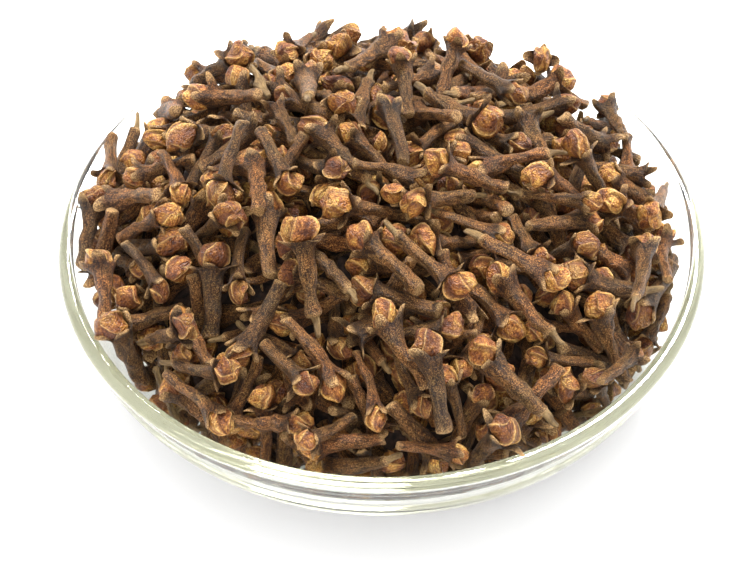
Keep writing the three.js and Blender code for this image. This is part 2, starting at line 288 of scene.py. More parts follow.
def model_stem(rings=STEM_RINGS, stalk=False):
    """A stem with its foot end, up to the flat ring on its collar that the sepals grow from."""
    height, radius = rings[0]
    stem = start(
        bpy.ops.mesh.primitive_cylinder_add,
        vertices=COLUMNS,
        radius=radius * MM,
        depth=height * MM,
        location=(0, 0, height / 2 * MM),
    )
    pick(lambda p: p.z > height - NEAR, "FACE")
    grow(rings)
    pick(lambda p: p.z < NEAR, "FACE")
    push(z=-FOOT_DEPTH)
    resize(FOOT_SHARE, FOOT_SHARE, 1, (0, 0, -FOOT_DEPTH))
    if stalk:
        # A step in, and then two crooked lengths.
        push(z=-0.1)
        resize(STALK_SHARE, STALK_SHARE, 1, (0, 0, -0.4))
        push(x=0.1, z=-1.6)
        push(x=-0.15, z=-1.3)
        resize(0.8, 0.8, 1, (0, 0, -3.3))
    # Between the angles the stem is flatter.
    pick(lambda p: apart(angle_at(p) % 90, 45) < 5 and 0 <= p.z < COLLAR - 0.1)
    resize(FLAT_SHARE, FLAT_SHARE, 1, (0, 0, 0))
    pick(lambda p: p.z > COLLAR - NEAR, "FACE")
    push()
    resize(CUP_SHARE, CUP_SHARE, 1, (0, 0, COLLAR))
    return stem


# %% The sepals
# A sepal grows in three steps: its share of the way out and of the way up, and then how much narrower and
# thicker or thinner it is than the step before.
SEPAL_STEPS = ((0.42, 0.4, 0.86, 1.3), (0.38, 0.36, 0.78, 0.95), (0.2, 0.24, 0.62, 0.75))
AROUND = ((1, 0), (0, 1), (-1, 0), (0, -1))
RING_INSIDE = 0.8  # as shares of the flat ring's middle radius
SEPAL_ROOT = 0.9
SEPAL_REACH = 40  # degrees to either side


def model_sepals(shapes):
    """Grows four sepals. shapes has for each how far its tip stands out and up from the collar, in mm."""
    ring = COLLAR_RADIUS * (1 + CUP_SHARE) / 2
    for i, ((x, y), (out, up)) in enumerate(zip(AROUND, shapes)):
        # The two faces of the flat ring over one angle of the stem.
        pick(
            lambda p: abs(p.z - COLLAR) < NEAR
            and math.hypot(p.x, p.y) > ring * RING_INSIDE
            and apart(angle_at(p), i * 90) < SEPAL_REACH,
            "FACE",
        )
        at = Vector((x * ring * SEPAL_ROOT, y * ring * SEPAL_ROOT, COLLAR))
        for share_out, share_up, narrow, thin in SEPAL_STEPS:
            step = Vector((x * out * share_out, y * out * share_out, up * share_up))
            push(*step)
            at += step
            resize(thin if x else narrow, thin if y else narrow, 1, at)


# %% The head
# A head's outline from its base to its top: share of its height, and share of its radius.
CLOSED = ((0, 0.55), (0.2, 0.9), (0.44, 1), (0.68, 0.9), (0.88, 0.6), (1, 0.2))
DENTED = ((0, 0.55), (0.22, 0.9), (0.46, 1), (0.72, 0.9), (0.92, 0.6), (0.82, 0.25))
# For each column of a petal: where it is, from its free edge to the next, and how far it stands out.
PETAL_COLUMNS = ((0, 1), (0.09, 0.9), (0.5, 0.2), (0.93, -1))
LAP = 0.16  # the step from petal to petal, as a share of the head's radius
EDGE_CREASE = 0.9  # keeps a free edge crisp when the head is subdivided


def turn(degrees):
    """Turns what is selected about Z. Without a window this tool turns the other way round."""
    bpy.ops.transform.rotate(value=-math.radians(degrees), orient_axis="Z", center_override=(0, 0, 0))


def mark(group_name, indexes):
    """Notes vertices in a group, which later gives them a colour of their own."""
    pick_these(indexes)
    piece = bpy.context.object
    group = piece.vertex_groups.get(group_name) or piece.vertex_groups.new(name=group_name)
    piece.vertex_groups.active_index = group.index
    bpy.ops.object.vertex_group_assign()


def model_head(
    radius=2.1,
    base=9.9,
    top=14.4,
    edges=(0, 90, 180, 270),
    swirl=70,
    off=(0.4, 0.3),
    profile=CLOSED,
):
    """A ball of petals. edges has the direction of each petal's free edge. Towards the top the petals
    swirl by that many degrees, and off moves the top aside."""
    high = top - base
    rings = [(base + high * z, radius * r) for z, r in profile]
    count = len(PETAL_COLUMNS) * len(edges)
    head = start(
        bpy.ops.mesh.primitive_circle_add,
        vertices=count,
        radius=rings[0][1] * MM,
        fill_type="NGON",
        location=(0, 0, base * MM),
    )
    grow(rings)
    columns = [[] for _ in range(count)]
    for vert in bmesh.from_edit_mesh(head.data).verts:
        columns[round(angle_at(vert.co) * count / 360) % count].append(vert.index)
    for i, (edge, after) in enumerate(zip(edges, [*edges[1:], edges[0] + 360])):
        first = len(PETAL_COLUMNS) * i
        for column, (share, stands) in enumerate(PETAL_COLUMNS, first):
            pick_these(columns[column])
            turn(edge + share * (after - edge) - column * 360 / count)
            resize(1 + LAP * stands, 1 + LAP * stands, 1, (0, 0, 0))
        # In the finish the free edge gets a painted highlight and the last column a painted shadow line.
        mark("free_edge", columns[first])
        bpy.ops.transform.edge_crease(value=EDGE_CREASE)
        mark("seam_shadow", columns[first + len(PETAL_COLUMNS) - 1])
        if i % 2:
            mark("golden", sum(columns[first : first + len(PETAL_COLUMNS)], []))
    for i, (z, _) in enumerate(rings[1:], 1):
        share = i / (len(rings) - 1)
        pick(lambda p: abs(p.z - z) < NEAR)
        turn(swirl * share)
        bpy.ops.transform.translate(value=(off[0] * share**2 * MM, off[1] * share**2 * MM, 0))
    return head


# %% [markdown]
# ## The cloves on the bench
#
# No two cloves in a jar are the same, but they fall into a few kinds. Most are whole. Some have lost
# their head and show the hollow between the sepals, with a stump in it. Some still have a bit of their
# thin stalk. A few heads and twigs lie by themselves. Each kind is modelled a few times over with other
# numbers: heads that are round, plump, tall or askew, and sepals that hug, spread or curl down.
#
# Two finishes meet on a clove, the skin of the stem and the petals. The stem and the head are joined
# when each has its own finish, so every face keeps it.

# %% Put one clove together
skin = bpy.data.materials.new("clove_skin")
petal = bpy.data.materials.new("clove_petal")
ROUGH_CLOVE, ROUGH_TWIG = 0.1, 0.04  # mm; how far drying pushes a point about at most


def finish_shape(parts, name, seed, rough=ROUGH_CLOVE):
    """Joins parts, pushes their points about a little as drying does, and closes edit mode."""
    for part, material in parts:
        part.data.materials.append(material)
    bpy.ops.object.select_all(action="DESELECT")
    for part, _ in parts:
        part.select_set(True)
    bpy.context.view_layer.objects.active = parts[0][0]
    if len(parts) > 1:
        bpy.ops.object.join()
    bpy.ops.object.mode_set(mode="EDIT")
    bpy.ops.mesh.select_all(action="SELECT")
    bpy.ops.transform.vertex_random(offset=rough * MM, seed=seed)
    return leave(name)


HOLLOW_DEPTH = 0.9
HOLLOW_SHARE = 0.8
STUMP_SHARE = 0.34
STUMP_HEIGHT = 1.5
STUMP_TOP_SHARE = 0.6


def model_clove(name, seed, sepals, head=None, stem=STEM_RINGS, stalk=False):
    """One clove. Without a head it has a hollow with a stump in it."""
    body = model_stem(stem, stalk)
    model_sepals(sepals)
    parts = [(body, skin)]
    if head is None:
        bottom = (0, 0, COLLAR - HOLLOW_DEPTH)
        stump_top = (0, 0, COLLAR - HOLLOW_DEPTH + STUMP_HEIGHT)
        pick(lambda p: abs(p.z - COLLAR) < NEAR and math.hypot(p.x, p.y) < 0.3, "FACE")
        push(z=-HOLLOW_DEPTH)
        resize(HOLLOW_SHARE, HOLLOW_SHARE, 1, bottom)
        push()
        resize(STUMP_SHARE, STUMP_SHARE, 1, bottom)
        push(z=STUMP_HEIGHT)
        resize(STUMP_TOP_SHARE, STUMP_TOP_SHARE, 1, stump_top)
    bpy.ops.object.mode_set(mode="OBJECT")
    if head is not None:
        parts.append((model_head(**head), petal))
        bpy.ops.object.mode_set(mode="OBJECT")
    return finish_shape(parts, name, seed)


# %% The kinds of cloves
# How far each of the four sepals stands out and up.
HUG = [(1.1, 1.9), (0.9, 2.1), (1.3, 1.7), (1.0, 2.0)]
SPREAD = [(2.2, 1.4), (1.8, 1.8), (2.4, 1.1), (1.7, 1.6)]
CURL = [(2.3, 0.5), (2.0, 1.0), (2.5, 0.2), (1.9, 0.8)]
MIXED = [(1.0, 2.0), (2.3, 0.9), (1.3, 1.9), (2.1, 0.5)]
CLAW = [(1.6, 2.2), (1.1, 2.6), (1.9, 1.9), (1.3, 2.4)]
TOP = (COLLAR, COLLAR_RADIUS)
SLIM = [(0.45, 1.2), (2.4, 1.12), (4.6, 1.2), (6.7, 1.32), (8.6, 1.6), TOP]
STOUT = [(0.45, 1.3), (2.4, 1.44), (4.6, 1.62), (6.7, 1.72), (8.6, 1.9), TOP]

ROUND = dict(radius=2.15, top=14.1, swirl=85, off=(0.4, 0.2))
PLUMP = dict(radius=2.3, edges=(10, 130, 230), swirl=60, off=(0.6, 0.3), profile=DENTED)
TALL = dict(radius=1.95, top=14.4, swirl=110, off=(-0.4, 0.3))
ASKEW = dict(radius=2.15, edges=(0, 120, 170, 265), swirl=95, off=(0.8, -0.4))
FLAT = dict(radius=2.2, top=13.8, swirl=-75, off=(-0.6, -0.4))
TIGHT = dict(top=14.2, edges=(20, 110, 235), swirl=-100, off=(0.5, 0.3))
TURNED = dict(radius=2.1, swirl=-90, off=(-0.5, 0.3))
PLUMP_TOO = dict(radius=2.25, edges=(0, 90, 200, 280), off=(0.6, -0.3), profile=DENTED)
TALL_TOO = dict(radius=2.0, top=14.3, swirl=100)

whole = [
    model_clove("round_cloves", 1, SPREAD, ROUND),
    model_clove("plump_cloves", 2, CURL, PLUMP),
    model_clove("tall_cloves", 3, HUG, TALL, SLIM),
    model_clove("askew_cloves", 4, MIXED, ASKEW),
    model_clove("flat_cloves", 5, SPREAD[::-1], FLAT, SLIM),
    model_clove("tight_cloves", 6, HUG[::-1], TIGHT, STOUT),
]
headless = [
    model_clove("claw_cloves", 7, CLAW, None, SLIM),
    model_clove("star_cloves", 8, SPREAD),
    model_clove("torn_cloves", 9, MIXED[::-1], None, STOUT),
]
stalked = [
    model_clove("stalked_cloves", 10, MIXED, TURNED, STOUT, stalk=True),
    model_clove("stalked_plump_cloves", 11, CURL[::-1], PLUMP_TOO, stalk=True),
    model_clove("stalked_tall_cloves", 12, HUG, TALL_TOO, SLIM, stalk=True),
]
print(len(whole + headless + stalked), "cloves,", len(whole[0].data.polygons), "faces in a whole one")

# %% [markdown]
# ## Loose heads and twigs
#
# A head that has dropped off is the same ball of petals. A twig is a piece of the plant's thin
# green-brown stalk. Some twigs fork, so one twig is extruded with a side shoot.

# %% Model them
BUD_BASE = 10.0
TWIG_END = (1.2, 0.8)
TWIG_JOINT = [(4.9, 0.66), (5.5, 0.95), (6.3, 0.9), (7.0, 0.6)]
TWIG_RINGS = [TWIG_END, (3.6, 0.62), *TWIG_JOINT, (9.6, 0.55), (10, 0.75)]


def model_bud(name, seed, **head):
    """A loose head."""
    part = model_head(base=BUD_BASE, **head)
    bpy.ops.object.mode_set(mode="OBJECT")
    return finish_shape([(part, petal)], name, seed)


def model_twig(name, seed, forked):
    """A thin crooked stick along Z with a swollen joint."""
    length, radius = TWIG_END
    twig = start(
        bpy.ops.mesh.primitive_cylinder_add,
        vertices=6,
        radius=radius * MM,
        depth=length * MM,
        location=(0, 0, length / 2 * MM),
    )
    pick(lambda p: p.z > length - NEAR, "FACE")
    grow(TWIG_RINGS)
    # A kink under the joint.
    pick(lambda p: 2 < p.z < 5.2)
    bpy.ops.transform.translate(value=(0.25 * MM, 0.1 * MM, 0))
    if forked:
        # The side shoot grows from one face of the joint, in two lengths.
        pick(lambda p: 5.5 < p.z < 6.3 and apart(angle_at(p), 30) < 31, "FACE")
        push(x=1.0, y=0.5, z=0.6)
        resize(0.7, 0.7, 0.8, (1.8, 0.9, 6.5))
        push(x=1.3, y=0.7, z=1.8)
        resize(0.8, 0.8, 0.8, (3.1, 1.6, 8.3))
    bpy.ops.object.mode_set(mode="OBJECT")
    return finish_shape([(twig, skin)], name, seed, ROUGH_TWIG)


buds = [
    model_bud("round_buds", 13, radius=2.15, top=14.5, edges=(0, 130, 220)),
    model_bud("askew_buds", 14, radius=2.0, top=14.2, edges=(0, 120, 180, 280), swirl=-20, off=(0.5, 0.1)),
]
twigs = [model_twig("straight_twigs", 15, False), model_twig("forked_twigs", 16, True)]
print(len(buds), "loose heads,", len(twigs), "twigs")

# %% [markdown]
# ## How the cloves fall
#
# A heap looks right only when its pieces lie on each other. A physics simulation could drop them, but
# it is slow and never ends quite the same. This rule is quicker and always gives the same heap. A clove
# is a row of balls while it falls. For each new clove twenty places and tilts are tried. At each, the
# rule finds the height at which the balls touch the glass or a clove that lies there. The place that
# lies deepest under the heap's wanted surface wins, and small shuffles then settle the clove in its
# hollow. The solids were made by the same rule with the same seed, so both heaps agree.

# %% What falls
CLOVE_COUNT = 935
SMALLEST, LARGEST = 0.85, 1.15
MOST_BEND = 0.9
BOW_SPAN = 7.0
STALK_RADIUS = 0.8
TWIG_RADIUS = 0.85
TWIG_LENGTH = 10.0
STEM_BALLS = [(1.1, 1.15), (3.4, 1.4), (5.7, 1.6), (8.0, 1.75), (10.1, 2.1)]
BUD_BALL = (12.2, 2.25)
STALK_BALLS = [(-2.4, STALK_RADIUS), (-0.8, STALK_RADIUS)]
TWIG_BALLS = [(share * TWIG_LENGTH, TWIG_RADIUS) for share in (0.1, 0.25, 0.4, 0.55, 0.7, 0.9)]

# For each kind: how often it comes, the place along it that it turns about, and its balls, (place, radius).
KINDS = {
    "whole": (0.62, 7.6, STEM_BALLS + [BUD_BALL]),
    "open": (0.14, 6.6, STEM_BALLS),
    "stalked": (0.17, 6.6, STALK_BALLS + STEM_BALLS + [BUD_BALL]),
    "bud": (0.04, 12.2, [BUD_BALL]),
    "twig": (0.03, TWIG_LENGTH / 2, TWIG_BALLS),
}
SEED = 18
last_draw = SEED


def draw():
    """The next number from 0 to 1 in a fixed row of chance numbers."""
    global last_draw
    last_draw = last_draw * 16807 % 2147483647
    return last_draw / 2147483647


def between(low, high):
    """A chance number from low to high."""
    return low + (high - low) * draw()


def pick_kind():
    """A kind of clove by chance, each as often as its share says."""
    left = draw()
    for kind, (share, _, _) in KINDS.items():
        left -= share
        if left < 0:
            return kind
    return "whole"


def directions(clove):
    """The clove's own directions: along its stem, towards its bow, and across both."""
    level, rise = math.cos(clove["tilt"]), math.sin(clove["tilt"])
    ahead, aside = math.cos(clove["turn"]), math.sin(clove["turn"])
    along = np.array([level * ahead, level * aside, rise])
    side = np.array([-aside, ahead, 0.0])
    up = np.array([-rise * ahead, -rise * aside, level])
    bow = side * math.cos(clove["roll"]) + up * math.sin(clove["roll"])
    return along, bow, np.cross(along, bow)


def balls_of(clove):
    """The clove's balls around its middle: places and radii."""
    _, middle, balls = KINDS[clove["kind"]]
    place, radius = np.array(balls).T
    distance = (place - middle) * clove["size"]
    along, bow, _ = directions(clove)
    bend = clove["bend"] * (distance / BOW_SPAN) ** 2
    return np.outer(distance, along) + np.outer(bend, bow), radius * clove["size"]


# %% Where a clove comes to rest
CLOSENESS = 0.95
GLASS_SPREAD = 1.3
TOUCHES = np.array([-1, -0.75, -0.5, -0.25, 0, 0.25, 0.5, 0.75, 0.9, 1])
LIFTS = np.sqrt(1 - TOUCHES**2)


def height_on_glass(r, radius):
    """The lowest height that the middle of a ball can have over the glass, at distance r from the axis."""
    distance = np.abs(r[:, None] + np.multiply.outer(radius, TOUCHES))
    glass = hollow_height(distance, MOUTH_RADIUS, BEAD_HEIGHT, BEAD_HEIGHT - FLOOR_HEIGHT, INNER_ROUNDNESS)
    glass = np.where(distance >= MOUTH_RADIUS, BOWL_HEIGHT, glass)
    return (glass + np.multiply.outer(radius, LIFTS)).max(1)


def rest_height(clove, near):
    """The height at which a clove comes to rest on the glass and on the balls near it."""
    balls, radius = balls_of(clove)
    x, y = clove["x"] + balls[:, 0], clove["y"] + balls[:, 1]
    r = np.hypot(x, y)
    spread = radius * GLASS_SPREAD + GLASS_GAP
    if (r + spread > RIM_RADIUS).any():
        return math.inf
    height = (height_on_glass(r, spread) - balls[:, 2]).max()
    touch = np.add.outer(radius, near[:, 3]) * CLOSENESS
    rise = touch**2 - (near[:, 0] - x[:, None]) ** 2 - (near[:, 1] - y[:, None]) ** 2
    ball, other = np.nonzero(rise > 0)
    if len(ball):
        height = max(height, (near[other, 2] + np.sqrt(rise[ball, other]) - balls[ball, 2]).max())
    return height


# %% Drop them one by one
STARTS = 20
STEEPEST = 1.1
SHUFFLES = 36
MOVE, TURN, TILT = 3.0, 0.6, 0.5
REACH = 19.0


def drop_clove(placed):
    """One more clove on the balls that are placed, with its own balls as (x, y, z, radius)."""
    made = {
        "kind": pick_kind(),
        "size": between(SMALLEST, LARGEST),
        "bend": between(-MOST_BEND, MOST_BEND),
        "roll": between(0, 2 * math.pi),
    }
    best = {"over": math.inf}

    def near_to(x, y):
        return placed[(np.abs(placed[:, 0] - x) < REACH) & (np.abs(placed[:, 1] - y) < REACH)]

    def settle(pose, near):
        z = rest_height(pose, near)
        over = z - heap_height(pose["x"], pose["y"])
        return {**pose, "z": z, "over": over} if over < best["over"] else best

    for _ in range(STARTS):
        r = HEAP_RADIUS * math.sqrt(draw())
        angle = between(0, 2 * math.pi)
        pose = {**made, "x": r * math.cos(angle), "y": r * math.sin(angle)}
        pose["turn"] = between(0, 2 * math.pi)
        pose["tilt"] = between(-STEEPEST, STEEPEST)
        best = settle(pose, near_to(pose["x"], pose["y"]))
    near = near_to(best["x"], best["y"])
    for shuffle in range(SHUFFLES):
        calm = 1 - shuffle / SHUFFLES
        pose = dict(best)
        for what, most in (("x", MOVE), ("y", MOVE), ("turn", TURN), ("tilt", TILT)):
            pose[what] += between(-most, most) * calm
        best = settle(pose, near)
    balls, radius = balls_of(best)
    best["balls"] = np.column_stack([balls + (best["x"], best["y"], best["z"]), radius])
    return best


cloves = []
placed = np.empty((0, 4))
for _ in range(CLOVE_COUNT):
    cloves.append(drop_clove(placed))
    placed = np.vstack([placed, cloves[-1]["balls"]])
print(len(cloves), "cloves dropped, the highest ball at", round(placed[:, 2].max(), 2), "mm")

# %% [markdown]
# ## Only what can be seen
#
# Deep inside the heap nobody sees a clove. Those are left out, and a dark lumpy core takes their room.
# Its near-black colour is painted shade, standing in for the shaded cloves deep in the heap. It follows
# the glass below and the heap's surface above, well inside both, so it only shows as the darkness
# between the cloves. A small disc is extruded up along the wall and then over the dome. Two modifiers,
# Subdivision Surface and Displace, then make it round and lumpy.

# %% Leave out the hidden cloves
CORE_DEPTH = 8.5
CORE_GLASS_GAP = 6.0


def outside_hollow(x, y, z, gap):
    """Over 1 where a point lies outside the bowl's hollow less the gap, on the glass side."""
    r = np.hypot(x, y) / (MOUTH_RADIUS - gap)
    deep = np.maximum(0, BEAD_HEIGHT - z) / (BEAD_HEIGHT - FLOOR_HEIGHT - gap)
    return r**INNER_ROUNDNESS + deep**INNER_ROUNDNESS


def near_surface(clove, depth):
    """Whether some ball of the clove comes within that depth of the heap's surface."""
    x, y, z, radius = clove["balls"].T
    return (z + radius > heap_height(x, y) - depth).any()


def can_show(clove):
    """Whether any of the clove lies over the core or between the core and the glass."""
    x, y, z, _ = clove["balls"].T
    return near_surface(clove, CORE_DEPTH) or (outside_hollow(x, y, z, CORE_GLASS_GAP) > 1).any()


shown = [clove for clove in cloves if can_show(clove)]
print(len(shown), "of", len(cloves), "cloves can show")

# %% The dark core
CORE_COLUMNS = 48
UP_THE_WALL = (0.3, 0.6, 0.8, 0.92, 0.98)  # shares of the core's radius
OVER_THE_DOME = (0.96, 0.88, 0.76, 0.6, 0.42, 0.22, 0.06)
LUMP_SIZE, LUMP_HEIGHT = 4, 3

core_radius = MOUTH_RADIUS - CORE_GLASS_GAP
core_depth = BEAD_HEIGHT - FLOOR_HEIGHT - CORE_GLASS_GAP
wall_r = [share * core_radius for share in UP_THE_WALL]
wall_z = [hollow_height(r, core_radius, BEAD_HEIGHT, core_depth, INNER_ROUNDNESS) for r in wall_r]

core = start(
    bpy.ops.mesh.primitive_circle_add,
    vertices=CORE_COLUMNS,
    radius=wall_r[0] * MM,
    fill_type="NGON",
    location=(0, 0, wall_z[0] * MM),
)
grow(list(zip(wall_z, wall_r)))
r0, z0, x0 = wall_r[-1], wall_z[-1], 0
for share in OVER_THE_DOME:
    r1, x1 = share * core_radius, PEAK_SHIFT * (1 - share**2)
    z1 = HEAP_EDGE + (HEAP_TOP - HEAP_EDGE) * (1 - share**HEAP_FULLNESS) - CORE_DEPTH
    push(x=x1 - x0, z=z1 - z0)
    resize(r1 / r0, r1 / r0, 1, (x1, 0, z1))
    r0, z0, x0 = r1, z1, x1
core = leave("clove_core")
smooth = core.modifiers.new("rounder", "SUBSURF")
smooth.levels = smooth.render_levels = 2
lumps = core.modifiers.new("lumps", "DISPLACE")
lumps.texture = bpy.data.textures.new("core_lumps", "CLOUDS")
lumps.texture.noise_scale = LUMP_SIZE * MM
lumps.strength = LUMP_HEIGHT * MM
lumps.mid_level = 0.7
apply_all(core)
print("core", len(core.data.polygons), "faces")

# %% [markdown]
# ## From the bench to the heap
#
# Each model becomes one piece that holds all its copies. Instances would be lighter, but they don't
# survive an export, so the copies are real points in one mesh, worked out with arrays. Cloves on top of
# the heap are copied from a finer version of their model, which one level of subdivision makes rounder.
# Those below them, and against the glass, are copied from the model as it is.
#
# A few things are noted on every point for the finishes. `own` is the place on the clove itself, shifted
# at random, so the grain sticks to the stem and never repeats. `tone` is one number for the whole clove.
# The wear note says where the skin is worn, which is at the blunt foot and the sepals' tips, and where a
# petal has its free edge, which gets a painted highlight. The seam note is where one petal dips under the
# next and gets a painted shadow line, `golden` says which petals are lighter, `collar` where painted shade
# darkens the stem under its head, and `stalk` what is thin green-brown stalk.

# %% Read the models
FOOT_MIDDLE, FOOT_WEAR = -0.3, 0.7
TIPS_OVER, TIPS_PAST, TIP_WEAR = COLLAR + 0.5, 2.4, 1.2
TWIG_WEAR = 0.3
COLLAR_SHADE = 1.6
STALK_TOP = -0.35


def weights(piece, group_name):
    """How much each vertex belongs to a group, from 0 to 1."""
    group = piece.vertex_groups.get(group_name)
    if group is None:
        return np.zeros(len(piece.data.vertices))
    return np.array([sum(e.weight for e in v.groups if e.group == group.index) for v in piece.data.vertices])


def read_model(piece):
    """A modelled clove as arrays: points in mm, faces and what is noted on each point."""
    mesh = piece.data
    points = np.array([vert.co for vert in mesh.vertices]) / MM
    faces = [tuple(face.vertices) for face in mesh.polygons]
    slots = [mesh.materials[face.material_index] for face in mesh.polygons]
    on_skin = np.zeros(len(points), bool)
    for face, slot in zip(faces, slots):
        if slot is skin:
            on_skin[list(face)] = True
    r, z = np.hypot(points[:, 0], points[:, 1]), points[:, 2]
    foot = np.clip(1 - np.abs(z - FOOT_MIDDLE) / FOOT_WEAR, 0, 1)
    beyond = np.hypot(np.maximum(0, z - TIPS_OVER), np.maximum(0, r - TIPS_PAST))
    is_twig = "twig" in piece.name
    worn = np.clip(np.maximum(foot, beyond / TIP_WEAR), 0, 1) * on_skin * (TWIG_WEAR if is_twig else 1)
    # Painted shade: the stem and sepals darken under the head.
    collar = np.exp(-(((z - COLLAR) / COLLAR_SHADE) ** 2)) * on_skin * (not is_twig)
    notes = {
        "collar": collar,
        # Worn skin, and a painted highlight along each petal's free edge.
        "wear_and_edge_highlight": worn + weights(piece, "free_edge"),
        # Where a painted shadow line goes, under the next petal.
        "seam_shadow": weights(piece, "seam_shadow"),
        "golden": weights(piece, "golden"),
        "stalk": np.ones(len(points)) if is_twig else (z < STALK_TOP) * 1.0,
    }
    return {"points": points, "faces": faces, "slots": slots, "notes": notes}


def read_both(piece):
    """The model as it is and a finer one. The bench piece itself is removed."""
    name = piece.name
    plain = read_model(piece)
    rounder = piece.modifiers.new("rounder", "SUBSURF")
    rounder.levels = rounder.render_levels = 1
    apply_all(piece)
    finer = read_model(piece)
    bpy.data.objects.remove(piece)
    return {"name": name, "plain": plain, "finer": finer}


models = {"whole": whole, "open": headless, "stalked": stalked, "bud": buds, "twig": twigs}
models = {kind: [read_both(piece) for piece in pieces] for kind, pieces in models.items()}
print("a finer clove has", len(models["whole"][0]["finer"]["faces"]), "faces")

# %% Keep the copies off the glass
SKIN_GAP = 0.12
TINY = 1e-6


def off_the_glass(points):
    """Moves points that would be in the glass back to just inside it, or to just over the rolled rim."""
    below = points[:, 2] < BEAD_HEIGHT
    excess = outside_hollow(points[:, 0], points[:, 1], points[:, 2], SKIN_GAP)
    shrink = np.where(below & (excess > 1), np.maximum(excess, 1) ** (-1 / INNER_ROUNDNESS), 1)
    points[:, :2] *= shrink[:, None]
    points[:, 2] = np.where(below, BEAD_HEIGHT - (BEAD_HEIGHT - points[:, 2]) * shrink, points[:, 2])
    r = np.hypot(points[:, 0], points[:, 1])
    dr, dz = r - BEAD_MIDDLE, points[:, 2] - BEAD_HEIGHT
    distance = np.hypot(dr, dz)
    nearest = BEAD_RADIUS + SKIN_GAP
    wanted = np.where((distance < nearest) & ~below, nearest / np.maximum(distance, TINY), 1)
    points[:, :2] *= ((BEAD_MIDDLE + dr * wanted) / np.maximum(r, TINY))[:, None]
    points[:, 2] = BEAD_HEIGHT + dz * wanted
    return points


# %% [markdown]
# On the way each copy is made a little different. It is crumpled by a few long waves, made thicker or
# thinner, flattened, twisted and swayed by chance, and bowed as the rule says. A shape of its own would
# be truer for every clove, but nine hundred models are no work for a bench.

# %% Make each copy a little different
chance = np.random.default_rng(41)
WAVES = 4
WAVE_LENGTH = 1.8, 4.5
WAVE_HEIGHT = 0.16
GIRTH = 0.8, 1.02
FLATNESS = 0, 0.13
TWIST, TWIST_SPAN = (-0.6, 0.6), 10
SWAY, SWAY_WAVE = (0, 0.3), 0.55
LUMPS, LUMP_WAVE = (0.02, 0.07), 0.9
CROWN, CROWN_FROM, CROWN_FADE = (0.9, 1.1), 8, 3  # how thick the head is, whatever the stem's girth
HIGHEST = cad_box[1][2] / MM - NEAR


def crumple(points):
    """Shifts points by a few long waves in directions of their own, so no copy keeps the model's shape."""
    for _ in range(WAVES):
        wave, shift = chance.normal(size=3), chance.normal(size=3)
        wave *= 2 * math.pi / chance.uniform(*WAVE_LENGTH) / np.linalg.norm(wave)
        shift *= WAVE_HEIGHT / np.linalg.norm(shift)
        points = points + np.outer(np.sin(points @ wave + chance.uniform(0, 2 * math.pi)), shift)
    return points


def placed_copy(points, clove):
    """A model's points in the heap, in mm, after this clove's own changes of shape."""
    x, y, z = crumple(points).T
    girth, flat, twist = chance.uniform(*GIRTH), chance.uniform(*FLATNESS), chance.uniform(*TWIST)
    phase, sway, lump = chance.uniform(0, 2 * math.pi, 2), chance.uniform(*SWAY), chance.uniform(*LUMPS)
    crown = chance.uniform(*CROWN)
    swell = girth * (1 + lump * np.sin(LUMP_WAVE * z + phase[0] + 2 * np.arctan2(y, x)))
    swell = swell * (1 + (crown / girth - 1) * np.clip((z - CROWN_FROM) / CROWN_FADE, 0, 1))
    angle = chance.uniform(0, 2 * math.pi) + twist * z / TWIST_SPAN
    x, y = x * swell * (1 + flat), y * swell * (1 - flat)
    x, y = x * np.cos(angle) - y * np.sin(angle), x * np.sin(angle) + y * np.cos(angle)
    middle = KINDS[clove["kind"]][1]
    distance = (z - middle) * clove["size"]
    x = x * clove["size"] + clove["bend"] * (distance / BOW_SPAN) ** 2
    y = y * clove["size"] + sway * np.sin(SWAY_WAVE * z + phase[1])
    along, bow, across = directions(clove)
    in_heap = np.outer(x, bow) + np.outer(y, across) + np.outer(distance, along)
    in_heap = off_the_glass(in_heap + (clove["x"], clove["y"], clove["z"]))
    in_heap[:, 2] = np.minimum(in_heap[:, 2], HIGHEST)
    return in_heap


# %% One piece from all copies of a model
TOP_LAYER = 4.5
OWN_SHIFT = 500
SHARP_ON_CLOVE = math.radians(62)


def gather(model, its_cloves):
    """The points, faces, finishes and notes of all the cloves that are copies of a model."""
    points, faces, slots, notes = [], [], [], {"own": [], "tone": []}
    count = 0
    for clove in its_cloves:
        shape = model["finer" if near_surface(clove, TOP_LAYER) else "plain"]
        here = placed_copy(shape["points"], clove)
        points.append(here)
        faces += [tuple(i + count for i in face) for face in shape["faces"]]
        slots += shape["slots"]
        count += len(here)
        notes["own"].append(shape["points"] + chance.uniform(0, OWN_SHIFT, 3))
        notes["tone"].append(np.full(len(here), chance.random()))
        for note, values in shape["notes"].items():
            notes.setdefault(note, []).append(values)
    return np.vstack(points), faces, slots, notes


def copy_into_one(model, its_cloves):
    """One piece that holds all its cloves, with its finishes and notes."""
    points, faces, slots, notes = gather(model, its_cloves)
    mesh = bpy.data.meshes.new(model["name"])
    mesh.from_pydata(points * MM, [], faces)
    for material in dict.fromkeys(slots):
        mesh.materials.append(material)
    order = {material: i for i, material in enumerate(mesh.materials)}
    mesh.polygons.foreach_set("material_index", [order[material] for material in slots])
    for note, values in notes.items():
        is_place = note == "own"
        attribute = mesh.attributes.new(note, "FLOAT_VECTOR" if is_place else "FLOAT", "POINT")
        values = np.concatenate(values).ravel().astype(np.float32)
        attribute.data.foreach_set("vector" if is_place else "value", values)
    piece = bpy.data.objects.new(model["name"], mesh)
    bpy.context.scene.collection.objects.link(piece)
    choose(piece)
    bpy.ops.object.shade_smooth_by_angle(angle=SHARP_ON_CLOVE)
    print(piece.name, len(its_cloves), "copies,", sum(len(face) - 2 for face in faces), "triangles")
    return piece


